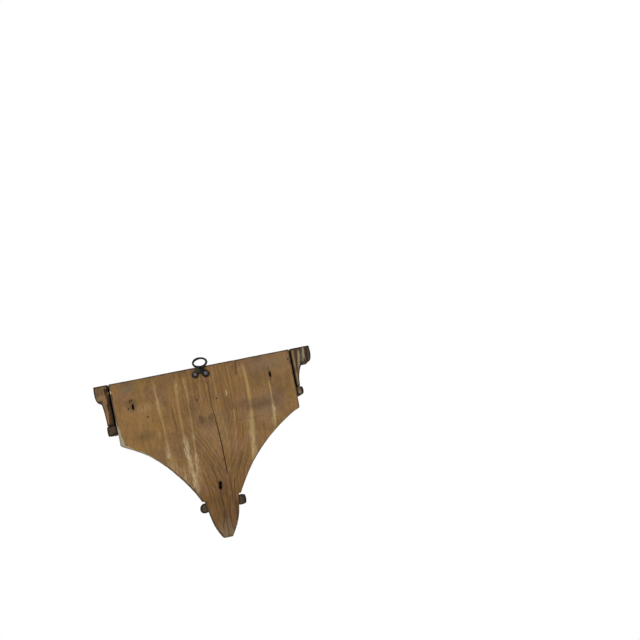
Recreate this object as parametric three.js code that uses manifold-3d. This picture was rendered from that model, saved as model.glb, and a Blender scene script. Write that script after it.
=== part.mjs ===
// Wooden corbel bracket with a moulded shelf, a carved trumpet-shaped body and a forged hanger.
// Millimetres, +Z up. The wall face of the body is the plane y = 0 and the front faces -Y.
// The origin is on the wall face, in the middle of the body's straight-sided head.

import * as THREE from 'three';
import { mergeVertices } from 'three/addons/utils/BufferGeometryUtils.js';
import Module from 'manifold-3d';

// Body
const BODY_HEIGHT = 267.5;
const HEAD_HALF_WIDTH = 142;
const HEAD_DEPTH = 142;
const HEAD_HEIGHT = 93;
const HOLLOW_RISE = 12.8;
const NECK_HALF_WIDTH = 23.5;
const NECK_DEPTH = 23.5;
const NECK_HEIGHT = 21;
const NECK_TAPER = 3.9;
const NECK_SHOULDER = 3.3;
const BUD_HEIGHT = 41.5;
const BUD_BULGE = 2.6;
const TIP_HALF_WIDTH = 7;
const TIP_DEPTH = 7;
const SHELF_Z = HEAD_HEIGHT / 2;
const TIP_Z = SHELF_Z - BODY_HEIGHT;
const NECK_FOOT_Z = TIP_Z + BUD_HEIGHT;
const NECK_TOP_Z = NECK_FOOT_Z + NECK_HEIGHT;

// Crown moulding and the two beads
const CROWN_PROJECTION = 28;
const OVOLO_HEIGHT = 25.5;
const OVOLO_UNDERSIDE = 5.5;
const CAVETTO_TOP = 16.5;
const CAVETTO_FOOT = 10.2;
const CAVETTO_FLAT = 22;
const QUIRK = 1;
const CROWN_HEIGHT = 61;
const SHELF_BEAD_RADIUS = 7.2;
const SHELF_BEAD_CENTRE = 5.6;
const NECK_BEAD_RADIUS = 7.7;
const NECK_BEAD_CENTRE = 3.8;
const NECK_BEAD_SETBACK = 2;

// Hanger and its two dome-headed nails
const RING_RADIUS = 10.5;
const RING_WIRE = 3.4;
const RING_LEAN = 49 * Math.PI / 180;
const RING_FOOT_DROP = 0.9;
const EYE_SPACING = 16.4;
const EYE_DROP = 11.4;
const EYE_DIAMETER = 11;
const EYE_THICKNESS = 1.6;
const HANGER_NECK = 8;
const HANGER_WAIST = 6;
const NAIL_HEAD_DIAMETER = 8.4;
const NAIL_HEAD_HEIGHT = 2.3;
const NAIL_SHANK_DIAMETER = 2.8;
const NAIL_SHANK_LENGTH = 20;
const NAIL_POINT_LENGTH = 5;

// Old nail holes in the back: across, down from the shelf, width, height.
// Right and left are as seen from the front.
const HOLE_DEPTH = 14;
const RIGHT_HOLE = { x: 111, drop: 39, width: 3.2, height: 8 };
const LEFT_HOLE = { x: -107, drop: 34, width: 3.2, height: 7 };
const LOWER_HOLE = { x: 2, drop: 186, width: 4.6, height: 12 };

// Clearances
const GLUE_LINE = 0.3;
const HOLE_CLEARANCE = 0.3;
const CUT_MARGIN = 10;
const ARC_STEPS = 16;
const DOME_STEPS = 6;
const WIRE_STEPS = 12;
const RING_STEPS = 48;
const BORE_STEPS = 16;
const EYE_STEPS = 32;
const NAIL_STEPS = 24;
const WELD = 1e-4;

const WOOD = new THREE.MeshStandardMaterial({ name: 'pine', color: 0x8b6a43, roughness: 0.75, metalness: 0 });
const STAINED = new THREE.MeshStandardMaterial({ name: 'stained_pine', color: 0x5a4a3a, roughness: 0.7, metalness: 0 });
const IRON = new THREE.MeshStandardMaterial({ name: 'iron', color: 0x3a3a3c, roughness: 0.55, metalness: 0.85 });

const wasm = await Module();
wasm.setup();

function solid(geometry) {
  const bare = new THREE.BufferGeometry();
  bare.setAttribute('position', geometry.attributes.position.clone());
  if (geometry.index) bare.setIndex(geometry.index.clone());
  const welded = mergeVertices(bare, WELD);
  const corners = [];
  for (let i = 0; i < welded.index.count; i += 3) {
    const [a, b, c] = [0, 1, 2].map((k) => welded.index.getX(i + k));
    if (a !== b && b !== c && c !== a) corners.push(a, b, c);
  }
  return new wasm.Manifold(new wasm.Mesh({
    numProp: 3,
    vertProperties: new Float32Array(welded.attributes.position.array),
    triVerts: new Uint32Array(corners),
  }));
}

const group = new THREE.Group();

function add(name, body, material) {
  const mesh = body.getMesh();
  const geometry = new THREE.BufferGeometry();
  geometry.setAttribute('position', new THREE.BufferAttribute(new Float32Array(mesh.vertProperties), 3));
  geometry.setIndex(new THREE.BufferAttribute(new Uint32Array(mesh.triVerts), 1));
  const piece = new THREE.Mesh(geometry, material);
  piece.name = name;
  group.add(piece);
}

// A curve from a to b that bows sideways by `rise`, as an arc of a circle.
// A positive rise bows to the left of the way from a to b.
function arcTo(shape, a, b, rise) {
  const half = a.distanceTo(b) / 2;
  const radius = (half * half + rise * rise) / (2 * Math.abs(rise));
  const along = b.clone().sub(a).normalize();
  const left = new THREE.Vector2(-along.y, along.x);
  const centre = a.clone().add(b).multiplyScalar(0.5)
    .addScaledVector(left, Math.sign(rise) * (Math.abs(rise) - radius));
  const from = Math.atan2(a.y - centre.y, a.x - centre.x);
  const to = Math.atan2(b.y - centre.y, b.x - centre.x);
  shape.absarc(centre.x, centre.y, radius, from, to, rise > 0);
}

function prism(shape, length) {
  return new THREE.ExtrudeGeometry(shape, { depth: length, bevelEnabled: false, curveSegments: ARC_STEPS });
}

// Body: an outline cut from the front meets an outline cut from the side, so the hollows mitre.
// The side outline is drawn on both sides of the wall face, and only its front half is used.
function bodyOutline(headReach, neckReach, tipReach) {
  const place = (side, reach, z) => new THREE.Vector2(side * reach, z);
  const shape = new THREE.Shape();
  shape.moveTo(-headReach, SHELF_Z);
  for (const side of [-1, 1]) {
    const way = [
      place(side, headReach, SHELF_Z - HEAD_HEIGHT),
      place(side, neckReach + NECK_TAPER + NECK_SHOULDER, NECK_TOP_Z),
      place(side, neckReach + NECK_TAPER, NECK_TOP_Z),
      place(side, neckReach, NECK_FOOT_Z),
      place(side, tipReach, TIP_Z),
    ];
    if (side > 0) way.reverse();
    const rises = side < 0 ? [HOLLOW_RISE, 0, 0, -BUD_BULGE] : [-BUD_BULGE, 0, 0, HOLLOW_RISE];
    shape.lineTo(way[0].x, way[0].y);
    rises.forEach((rise, i) => {
      if (rise === 0) shape.lineTo(way[i + 1].x, way[i + 1].y);
      else arcTo(shape, way[i], way[i + 1], rise);
    });
  }
  shape.lineTo(headReach, SHELF_Z);
  shape.closePath();
  return shape;
}

const fromFront = prism(
  bodyOutline(HEAD_HALF_WIDTH, NECK_HALF_WIDTH, TIP_HALF_WIDTH),
  HEAD_DEPTH + CUT_MARGIN,
).rotateX(Math.PI / 2);
const fromSide = prism(
  bodyOutline(HEAD_DEPTH, NECK_DEPTH, TIP_DEPTH),
  2 * (HEAD_HALF_WIDTH + CUT_MARGIN),
).rotateX(Math.PI / 2)
  .rotateZ(Math.PI / 2)
  .translate(-HEAD_HALF_WIDTH - CUT_MARGIN, 0, 0);

function nailHole({ x, drop, width, height }) {
  const cut = new THREE.BoxGeometry(width, 2 * HOLE_DEPTH, height);
  return solid(cut.translate(x, 0, SHELF_Z - drop));
}

const EYES = [EYE_SPACING / 2, -EYE_SPACING / 2];
const EYE_Z = SHELF_Z - EYE_DROP;

function nailBore(x) {
  const radius = NAIL_SHANK_DIAMETER / 2 + HOLE_CLEARANCE;
  const reach = NAIL_SHANK_LENGTH + HOLE_CLEARANCE;
  const bore = new THREE.CylinderGeometry(radius, radius, 2 * reach, BORE_STEPS);
  return solid(bore.translate(x, 0, EYE_Z));
}

let body = solid(fromFront).intersect(solid(fromSide));
for (const hole of [RIGHT_HOLE, LEFT_HOLE, LOWER_HOLE]) body = body.subtract(nailHole(hole));
for (const x of EYES) body = body.subtract(nailBore(x));
add('body', body, WOOD);

// Mouldings: a section drawn as (out from the wood, height) runs along the two sides and the front
// of the body. The strips are mitred at the front corners.
function strips(name, section, { halfWidth, depth, back }) {
  const trim = GLUE_LINE / Math.SQRT2;
  const along = THREE.MathUtils.lerp;
  const runs = {
    right: (out, up, t) => [halfWidth + out, -along(back, depth + out - trim, t), up],
    front: (out, up, t) => {
      const end = halfWidth + out - trim;
      return [along(end, -end, t), -(depth + out), up];
    },
    left: (out, up, t) => [-(halfWidth + out), -along(depth + out - trim, back, t), up],
  };
  for (const [side, run] of Object.entries(runs)) {
    const strip = prism(section, 1);
    const place = strip.attributes.position;
    for (let i = 0; i < place.count; i += 1) {
      place.setXYZ(i, ...run(place.getX(i), place.getY(i), place.getZ(i)));
    }
    add(`${name}_${side}`, solid(strip), STAINED);
  }
}

function crownSection() {
  const shape = new THREE.Shape();
  const top = SHELF_Z;
  shape.moveTo(GLUE_LINE, top);
  shape.lineTo(GLUE_LINE, top - CROWN_HEIGHT);
  shape.lineTo(CAVETTO_FOOT, top - CROWN_HEIGHT);
  shape.quadraticCurveTo(
    CAVETTO_FOOT, top - CROWN_HEIGHT + CAVETTO_FLAT,
    CAVETTO_TOP, top - OVOLO_HEIGHT - QUIRK,
  );
  shape.lineTo(CAVETTO_TOP, top - OVOLO_HEIGHT);
  shape.lineTo(CAVETTO_TOP + OVOLO_UNDERSIDE, top - OVOLO_HEIGHT);
  shape.bezierCurveTo(
    CROWN_PROJECTION - QUIRK, top - OVOLO_HEIGHT,
    CROWN_PROJECTION + QUIRK, top - OVOLO_HEIGHT / 2,
    CROWN_PROJECTION, top,
  );
  shape.closePath();
  return shape;
}

// A round bead with a flat planed on it where it lies against the wood. `wood` is how far out the wood
// is at the height of the bead's centre, and `lean` is the slope of the wood there.
function beadSection(radius, centre, height, wood = 0, lean = 0) {
  const swing = Math.acos((centre * Math.cos(lean) - GLUE_LINE) / radius);
  const shape = new THREE.Shape();
  shape.absarc(wood + centre, height, radius, swing - Math.PI - lean, Math.PI - swing - lean, false);
  shape.closePath();
  return shape;
}

const head = { halfWidth: HEAD_HALF_WIDTH, depth: HEAD_DEPTH, back: 0 };
const neck = { halfWidth: NECK_HALF_WIDTH, depth: NECK_DEPTH, back: NECK_BEAD_SETBACK };
const shelfBeadZ = SHELF_Z - CROWN_HEIGHT - GLUE_LINE - SHELF_BEAD_RADIUS;
const neckBeadZ = (NECK_TOP_Z + NECK_FOOT_Z) / 2;
const neckLean = Math.atan2(NECK_TAPER, NECK_HEIGHT);
strips('crown', crownSection(), head);
strips('bead', beadSection(SHELF_BEAD_RADIUS, SHELF_BEAD_CENTRE, shelfBeadZ), head);
const neckBead = beadSection(NECK_BEAD_RADIUS, NECK_BEAD_CENTRE, neckBeadZ, NECK_TAPER / 2, neckLean);
strips('neck_bead', neckBead, neck);

// Hanger: one forging. Two eyes lie flat on the back, the neck stands off and the ring leans forward
// over the shelf, clear of the body's top edge.
const wire = RING_WIRE / 2;
const standOff = (wire + GLUE_LINE + RING_FOOT_DROP * Math.sin(RING_LEAN)) / Math.cos(RING_LEAN);
const ring = new THREE.TorusGeometry(RING_RADIUS, wire, WIRE_STEPS, RING_STEPS)
  .translate(0, RING_RADIUS, 0)
  .rotateX(Math.PI / 2 + RING_LEAN)
  .translate(0, standOff, SHELF_Z - RING_FOOT_DROP);

function backPlate(shape, from, to) {
  return solid(prism(shape, to - from).rotateX(Math.PI / 2).translate(0, to, 0));
}

const spread = new THREE.Shape();
spread.moveTo(-HANGER_NECK / 2, SHELF_Z - RING_FOOT_DROP);
spread.lineTo(-HANGER_WAIST / 2, SHELF_Z - EYE_DROP / 2);
spread.lineTo(-EYE_SPACING / 2, EYE_Z);
spread.lineTo(EYE_SPACING / 2, EYE_Z);
spread.lineTo(HANGER_WAIST / 2, SHELF_Z - EYE_DROP / 2);
spread.lineTo(HANGER_NECK / 2, SHELF_Z - RING_FOOT_DROP);
spread.closePath();

const riser = new THREE.Shape();
riser.moveTo(-HANGER_WAIST / 2, SHELF_Z - RING_FOOT_DROP);
riser.lineTo(-HANGER_WAIST / 2, SHELF_Z - EYE_DROP / 2);
riser.lineTo(HANGER_WAIST / 2, SHELF_Z - EYE_DROP / 2);
riser.lineTo(HANGER_WAIST / 2, SHELF_Z - RING_FOOT_DROP);
riser.closePath();

let hanger = solid(ring)
  .add(backPlate(spread, GLUE_LINE, GLUE_LINE + EYE_THICKNESS))
  .add(backPlate(riser, GLUE_LINE, standOff + wire / 2));
for (const x of EYES) {
  const eye = new THREE.CylinderGeometry(EYE_DIAMETER / 2, EYE_DIAMETER / 2, EYE_THICKNESS, EYE_STEPS);
  hanger = hanger.add(solid(eye.translate(x, GLUE_LINE + EYE_THICKNESS / 2, EYE_Z)));
}
for (const x of EYES) hanger = hanger.subtract(nailBore(x));
add('hanger', hanger, IRON);

// Dome-headed nail, turned about its own length and laid along Y.
function domeNail(x) {
  const seat = GLUE_LINE * 2 + EYE_THICKNESS;
  const shank = NAIL_SHANK_DIAMETER / 2;
  const headRadius = NAIL_HEAD_DIAMETER / 2;
  const outline = [
    new THREE.Vector2(0, -NAIL_SHANK_LENGTH),
    new THREE.Vector2(shank, -NAIL_SHANK_LENGTH + NAIL_POINT_LENGTH),
    new THREE.Vector2(shank, seat),
    new THREE.Vector2(headRadius, seat),
  ];
  for (let step = 1; step < DOME_STEPS; step += 1) {
    const angle = step / DOME_STEPS * Math.PI / 2;
    outline.push(new THREE.Vector2(
      headRadius * Math.cos(angle),
      seat + NAIL_HEAD_HEIGHT * Math.sin(angle),
    ));
  }
  outline.push(new THREE.Vector2(0, seat + NAIL_HEAD_HEIGHT));
  return solid(new THREE.LatheGeometry(outline, NAIL_STEPS).translate(x, 0, EYE_Z));
}

add('nail_right', domeNail(EYES[0]), IRON);
add('nail_left', domeNail(EYES[1]), IRON);

export default group;
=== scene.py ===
"""Wooden corbel bracket, seen from its back: aged pine body, stained mouldings and an iron hanger.

Lengths are written in millimetres and turned into metres when a mesh or an object is made.
"Drop" is the distance below the shelf, and "right" and "left" are as seen from the bracket's front,
so the right side is at +X and shows on the left when the back is looked at.
"""
import math

import bpy
import numpy as np
from mathutils import Matrix, Vector


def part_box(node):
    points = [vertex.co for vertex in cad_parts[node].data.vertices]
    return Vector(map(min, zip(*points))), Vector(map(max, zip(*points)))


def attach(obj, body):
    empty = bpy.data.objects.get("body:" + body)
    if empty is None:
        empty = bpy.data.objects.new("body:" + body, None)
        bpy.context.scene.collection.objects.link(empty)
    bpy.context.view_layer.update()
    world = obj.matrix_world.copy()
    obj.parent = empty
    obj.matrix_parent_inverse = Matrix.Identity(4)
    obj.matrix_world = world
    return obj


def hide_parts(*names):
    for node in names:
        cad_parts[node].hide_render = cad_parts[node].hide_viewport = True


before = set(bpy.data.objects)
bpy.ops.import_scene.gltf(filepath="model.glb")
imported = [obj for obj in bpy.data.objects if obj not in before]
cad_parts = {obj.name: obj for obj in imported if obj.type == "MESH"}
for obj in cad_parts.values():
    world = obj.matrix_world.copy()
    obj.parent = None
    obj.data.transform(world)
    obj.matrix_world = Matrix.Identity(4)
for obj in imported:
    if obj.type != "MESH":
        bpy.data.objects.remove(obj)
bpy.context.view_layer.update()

MM = 0.001

# Body, as built
body_low, body_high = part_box("body")
SHELF = body_high.z / MM
BODY_HEIGHT = (body_high.z - body_low.z) / MM
HEAD_REACH = body_high.x / MM
HEAD_DROP = 93.0
HOLLOW_RISE = 12.8
SHOULDER_REACH = 30.7
SHOULDER_DROP = 205.0
NECK_TOP_REACH = 27.4
NECK_FOOT_REACH = 23.5
NECK_FOOT_DROP = 226.0
BUD_BULGE = 2.6
TIP_REACH = 7.0

# How the old work has moved or was cut out of true. The work is out of level in full by LEVEL_LOST_BY.
LEAN = 3.6
LEAN_FROM, LEAN_TO = 80.0, 180.0
TIP_LEAN = 1.6
OUT_OF_LEVEL = 0.018
LEVEL_LOST_BY = 70.0
NECK_TILT = 0.045
NECK_TILT_DROP, NECK_TILT_SPREAD = 214.0, 24.0
GAP_AT_BACK = {"right": 2.5, "front": 0.5, "left": 2.0}
GAP_AT_FRONT = 0.5

# Crown moulding: how far each run stands out at the ovolo, the top and the foot of the cavetto
CROWN_HEIGHT = 61.0
OVOLO_HEIGHT = 25.6
CROWN_RUNS = {
    "right": (24.2, 16.6, 13.7),
    "front": (28.0, 16.5, 10.2),
    "left": (31.7, 16.5, 7.2),
}
OVOLO_SWELL = 1.4
OVOLO_UNDERCUT = 4.5
UNDERSIDE_FALL = 0.35
CAVETTO_BEND = 22.0
MITRE_TRIM = 0.35

# Beads: radius, how far the centre stands out from the wood, and how square the section is at the back.
# SLANT is for the broken end of the shelf bead's right run.
SHELF_BEAD = {"right": (7.5, 7.9, 0.6), "front": (7.1, 5.6, 0.1), "left": (7.1, 3.8, 0.32)}
SHELF_BEAD_DROP = 68.7
SHELF_BEAD_START = 0.3
SLANT = 0.17
NECK_BEAD = {"right": (7.7, 5.2, 0.0), "front": (7.6, 5.4, 0.0), "left": (7.8, 5.8, 0.42)}
NECK_BEAD_DROP = 215.5
NECK_BEAD_START = 1.6
STRIP_CHIP_DEPTH = 0.8

# Hanger
HANGER_SHIFT = -0.8
RING_SHIFT = -2.1
RING_RADIUS = 10.5
WIRE_RADIUS = 1.75
RING_LEAN = math.radians(49)
RING_FOOT_DROP = 0.5
RING_STANDOFF = 4.1
WELD_GRAIN = 0.26
CLEAR_OF_WOOD = 0.34

# Nails: how far the dome's seat, its rim and its top stand out, and the shank behind it
DOME_SEAT = 2.2
DOME_RIM = 0.25
DOME_HEIGHT = 2.4
SHANK_RADIUS = 1.4
SHANK_END = -6.0

# The two eyes: across, drop, radius of the eye and radius of its nail's dome
EYES = {"right": (8.2, 11.0, 4.9, 4.1), "left": (-8.2, 11.9, 5.5, 4.6)}

# Half-width of each strap at five places from the ring to its eye
STRAP_WIDTHS = {"right": (1.9, 3.3, 3.7, 3.5, 4.0), "left": (1.7, 2.2, 2.6, 3.4, 4.4)}


def smooth(low, high, value):
    """0 below low, 1 above high and an even S between them."""
    t = np.clip((value - low) / (high - low), 0, 1)
    return t * t * (3 - 2 * t)


def hump(middle, half_width, value):
    """1 at the middle, falling smoothly to 0 at half_width to either side."""
    return smooth(1, 0, np.abs(value - middle) / half_width)


def lattice(i, j, k, seed):
    """A settled number from 0 to 1 for each whole-number place."""
    h = i * 374761393 + j * 668265263 + k * 1274126177 + seed * 974634777
    h = (h ^ (h >> 13)) * 1274126177
    h = (h ^ (h >> 16)) & 0xFFFFFF
    return h / float(0xFFFFFF)


def noise(points, size, seed=0):
    """Smooth noise from -1 to 1 with lumps of that size, which may differ along X, Y and Z."""
    p = points / np.asarray(size, dtype=float) + 1000.0
    cell = np.floor(p).astype(np.int64)
    t = p - cell
    t = t * t * (3 - 2 * t)
    total = 0
    for corner in range(8):
        dx, dy, dz = corner & 1, corner >> 1 & 1, corner >> 2 & 1
        weight = np.where(dx, t[:, 0], 1 - t[:, 0])
        weight = weight * np.where(dy, t[:, 1], 1 - t[:, 1])
        weight = weight * np.where(dz, t[:, 2], 1 - t[:, 2])
        total = total + weight * lattice(cell[:, 0] + dx, cell[:, 1] + dy, cell[:, 2] + dz, seed)
    return total * 2 - 1


# Meshes: every length of wood is a box cut into a grid, bent to its shape by a place(u, v, w) function

def box_skin(us, vs, ws):
    """Points on the skin of a unit box at those shares, and the quads between them, facing out."""
    shape = (len(us), len(vs), len(ws))
    i, j, k = np.indices(shape)
    skin = (i == 0) | (i == shape[0] - 1) | (j == 0) | (j == shape[1] - 1)
    skin |= (k == 0) | (k == shape[2] - 1)
    number = np.full(shape, -1)
    number[skin] = np.arange(skin.sum())
    shares = np.stack([us[i[skin]], vs[j[skin]], ws[k[skin]]], axis=1)
    quads = []
    for axis in range(3):
        for end in (0, -1):
            sheet = np.take(number, end, axis=axis)
            quad = np.stack([sheet[:-1, :-1], sheet[1:, :-1], sheet[1:, 1:], sheet[:-1, 1:]], -1)
            quad = quad.reshape(-1, 4)
            faces_out = (end == -1) != (axis == 1)
            quads.append(quad if faces_out else quad[:, ::-1])
    return shares, np.concatenate(quads)


def normals(points, quads):
    """Unit normals at the points of a quad mesh."""
    across = np.cross(points[quads[:, 2]] - points[quads[:, 0]], points[quads[:, 3]] - points[quads[:, 1]])
    total = np.zeros_like(points)
    for corner in range(4):
        np.add.at(total, quads[:, corner], across)
    return total / np.maximum(np.linalg.norm(total, axis=1, keepdims=True), 1e-9)


def facing_out(points, quads):
    """The quads, turned over if they face into the wood."""
    a, b, c, d = (points[quads[:, k]] for k in range(4))
    volume = np.sum(np.cross(c - a, d - b) * (a + b + c + d))
    return quads if volume > 0 else quads[:, ::-1]


def ease_edges(place, shares, points, radius):
    """Rounds the box's edges by that radius. Returns the points and each one's distance to an edge."""
    reach, move = [], []
    for axis in range(3):
        ends = []
        for end in (0.0, 1.0):
            moved = shares.copy()
            moved[:, axis] = end
            ends.append(place(*moved.T))
        length = np.linalg.norm(ends[1] - ends[0], axis=1)
        at_low = shares[:, axis] < 0.5
        distance = np.where(at_low, shares[:, axis], 1 - shares[:, axis]) * length
        nudged = shares.copy()
        nudged[:, axis] += np.where(at_low, 1e-4, -1e-4)
        inward = place(*nudged.T) - points
        inward /= np.maximum(np.linalg.norm(inward, axis=1, keepdims=True), 1e-9)
        reach.append(distance)
        move.append(inward)
    pull = [np.maximum(radius - distance, 0) for distance in reach]
    size = np.sqrt(sum(p * p for p in pull))
    share = np.where(size > radius, 1 - radius / np.maximum(size, 1e-9), 0)
    eased = points + sum(m * (p * share)[:, None] for m, p in zip(move, pull))
    edge = np.sort(np.stack(reach), axis=0)[1]
    return eased, edge


def settle(points):
    """The whole bracket's small errors: the lower body leans and the work is a little out of level."""
    x, y, z = points.T
    drop = SHELF - z
    z = z - OUT_OF_LEVEL * x * np.clip(drop / LEVEL_LOST_BY, 0, 1)
    z = z - NECK_TILT * x * hump(NECK_TILT_DROP, NECK_TILT_SPREAD, drop)
    x = x + LEAN * smooth(LEAN_FROM, LEAN_TO, drop) + TIP_LEAN * smooth(NECK_FOOT_DROP, BODY_HEIGHT, drop)
    return np.stack([x, y, z], axis=1)


def mesh_object(name, points, faces, marks=None):
    """A mesh object from points in millimetres, with a named number at each point for each mark."""
    mesh = bpy.data.meshes.new(name)
    mesh.from_pydata((points * MM).tolist(), [], faces)
    for mark, values in (marks or {}).items():
        layer = mesh.attributes.new(mark, "FLOAT", "POINT")
        layer.data.foreach_set("value", np.asarray(values, dtype=np.float32))
    mesh.polygons.foreach_set("use_smooth", [True] * len(mesh.polygons))
    mesh.update()
    obj = bpy.data.objects.new(name, mesh)
    bpy.context.scene.collection.objects.link(obj)
    return obj


def dense(*stops):
    """Shares from (start, end, steps) stretches, in order and without repeats."""
    parts = [np.linspace(a, b, steps, endpoint=False) for a, b, steps in stops]
    return np.concatenate(parts + [[stops[-1][1]]])


# Body

def bow(z, top, foot, rise, outward):
    """Across-distance at height z on an arc from top to foot, each (across, height)."""
    top, foot = np.array(top), np.array(foot)
    half = np.linalg.norm(foot - top) / 2
    radius = (half * half + rise * rise) / (2 * rise)
    along = (foot - top) / (2 * half)
    aside = np.array([-along[1], along[0]])
    centre = (top + foot) / 2 + aside * (radius - rise) * (-1 if outward else 1)
    run = np.sqrt(np.maximum(radius ** 2 - (z - centre[1]) ** 2, 0))
    return centre[0] + run if outward else centre[0] - run


def reach_at(drop, softness):
    """How far the body reaches from its middle at that drop; softness rounds the head's lower corner."""
    hollow = bow(-drop, (HEAD_REACH, -HEAD_DROP), (SHOULDER_REACH, -SHOULDER_DROP), HOLLOW_RISE, False)
    sharp = np.minimum(HEAD_REACH, hollow)
    soft = sharp - softness * np.log1p(np.exp(-np.abs(HEAD_REACH - hollow) / softness))
    bud = bow(-drop, (NECK_FOOT_REACH, -NECK_FOOT_DROP), (TIP_REACH, -BODY_HEIGHT), BUD_BULGE, True)
    neck = np.interp(drop, (SHOULDER_DROP, NECK_FOOT_DROP), (NECK_TOP_REACH, NECK_FOOT_REACH))
    shoulder = smooth(SHOULDER_DROP - 0.4, SHOULDER_DROP + 0.8, drop)
    low = np.where(drop > NECK_FOOT_DROP, bud, neck)
    return soft * (1 - shoulder) + low * shoulder


# The head's right corner hangs a little low; its left one is blunt, with a small step under it
CORNER_SOFTNESS = {"right": 1.6, "front": 0.9, "left": 0.6}
CORNER_SAG = 2.4
SAG_FROM, SAG_TO = 98.0, 122.0
NOSE = 2.2
NOSE_DROPS = (92.6, 94.6, 95.6, 96.6)

# Radius of the knocked and rubbed back edge of the head's right side
RUBBED_DROPS = (56, 68, 82, 98, 106, 120, 155)
RUBBED_RADII = (0.0, 3.0, 7.5, 9.0, 6.0, 3.4, 1.0)

# The long drying crack: the line that it follows, where it starts and ends, and its depth
CRACK_DROPS = (0, 28, 62, 90, 122, 155, 185, 205, 268)
CRACK_X = (-9.0, -8.7, -8.4, -10.6, -13.6, -15.4, -16.0, -13.0, -5.0)
CRACK_FROM, CRACK_TO = 24.0, 176.0
CRACK_DEPTH = 1.6

# Old nail holes and smaller pin holes in the back: across, drop, half-width and half-height
NAIL_HOLES = (
    (111.3, 40.5, 1.4, 4.6), (-106.5, 33.5, 1.3, 4.0), (-2.3, 183.6, 2.3, 3.6), (-1.3, 189.4, 2.5, 3.9),
)
NAIL_HOLE_DEPTH = 7.0
PIN_HOLES = (
    (91.6, 60.5, 1.2, 1.2), (-138.1, 14.5, 1.3, 1.4), (114.9, 32.3, 0.9, 2.6), (111.8, 31.2, 1.0, 2.0),
    (118.8, 43.0, 1.0, 1.9), (11.9, 50.0, 1.2, 1.2), (-18.1, 53.2, 1.3, 1.2),
)
PIN_HOLE_DEPTH = 1.4

# Dents in the back: across, drop and size
DENTS = ((11.7, 81.0, 3.4), (-4.2, 80.5, 2.6), (-56.0, 8.0, 3.0), (67.0, 120.0, 3.0), (-80.0, 60.0, 3.0))
DENT_DEPTH = 0.55
BODY_CHIP_DEPTH = 0.9


def body_place(u, v, w):
    """The body before its edges are eased: u across from -X, v from the front to the back, w upwards."""
    drop = (1 - w) * BODY_HEIGHT
    split = np.interp(drop, CRACK_DROPS, CRACK_X)
    right = reach_at(drop - CORNER_SAG * smooth(SAG_TO, SAG_FROM, drop), CORNER_SOFTNESS["right"])
    left = -reach_at(drop, CORNER_SOFTNESS["left"]) - NOSE * np.interp(drop, NOSE_DROPS, (0, 1, 1, 0))
    share = np.abs(u - 0.5) * 2
    x = split + share * (np.where(u > 0.5, right, left) - split)
    y = -reach_at(drop, CORNER_SOFTNESS["front"]) * (1 - v)
    return np.stack([x, y, SHELF - drop], axis=1)


def body_grid():
    """The body's box skin, cut finest where its shape turns fastest and along the crack."""
    half = dense((0, 0.003, 1), (0.003, 0.009, 1), (0.009, 0.70, 52), (0.70, 0.83, 20), (0.83, 0.98, 12),
                 (0.98, 0.992, 2), (0.992, 1, 3))
    us = 0.5 + np.concatenate([-half[:0:-1], half]) / 2
    vs = dense((0, 0.01, 3), (0.01, 0.93, 30), (0.93, 0.992, 8), (0.992, 1, 3))
    drops = dense((0, 2, 4), (2, 29, 13), (29, 46, 22), (46, 88, 20), (88, 106, 16), (106, 178, 34),
                  (178, 194, 20), (194, 204, 6), (204, 206, 5), (206, 226, 12), (226, 266, 22),
                  (266, BODY_HEIGHT, 4))
    return box_skin(us, vs, 1 - drops[::-1] / BODY_HEIGHT)


def drying_crack(points, x, drop):
    """1 along the crack and 0 beside it."""
    beside = np.abs(x - np.interp(drop, CRACK_DROPS, CRACK_X))
    width = np.interp(drop, (30, 60, 120), (0.45, 0.62, 0.95)) + 0.15 * noise(points * [0, 0, 1], 13, 21)
    crack = smooth(1.0, 0.2, beside / width) * smooth(CRACK_FROM, CRACK_FROM + 14, drop)
    return crack * smooth(CRACK_TO, CRACK_TO - 12, drop)


def back_marks(points, x, drop, back, lift):
    """Adds the crack, the holes and the dents: how far each point sinks and lifts, and its grime with
    painted shade in the crack and holes.
    """
    crack = drying_crack(points, x, drop) * back
    grime_and_shade = crack * np.interp(drop, (30, 60, 100), (0.35, 0.62, 0.92))
    sink = CRACK_DEPTH * crack
    for hole_x, hole_drop, half_w, half_h in NAIL_HOLES:
        away = np.hypot((x - hole_x) / half_w, (drop - hole_drop) / half_h)
        away = away + 0.22 * noise(points, 2.6, 31)
        pit = smooth(1.12, 0.78, away) * back
        lip = hump(1.35, 0.45, away) * back
        sink = np.maximum(sink, NAIL_HOLE_DEPTH * pit)
        lift = lift + 0.25 * lip
        grime_and_shade = np.maximum(grime_and_shade, np.maximum(pit, 0.35 * smooth(2.0, 1.0, away) * back))
    for hole_x, hole_drop, half_w, half_h in PIN_HOLES:
        away = np.hypot((x - hole_x) / half_w, (drop - hole_drop) / half_h)
        sink = np.maximum(sink, PIN_HOLE_DEPTH * smooth(1.5, 0.6, away) * back)
    for dent_x, dent_drop, size in DENTS:
        away = np.hypot(x - dent_x, (drop - dent_drop) * 0.7) / size
        sink = np.maximum(sink, DENT_DEPTH * smooth(1.5, 0.2, away) * back)
    return sink, lift, grime_and_shade


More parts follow.
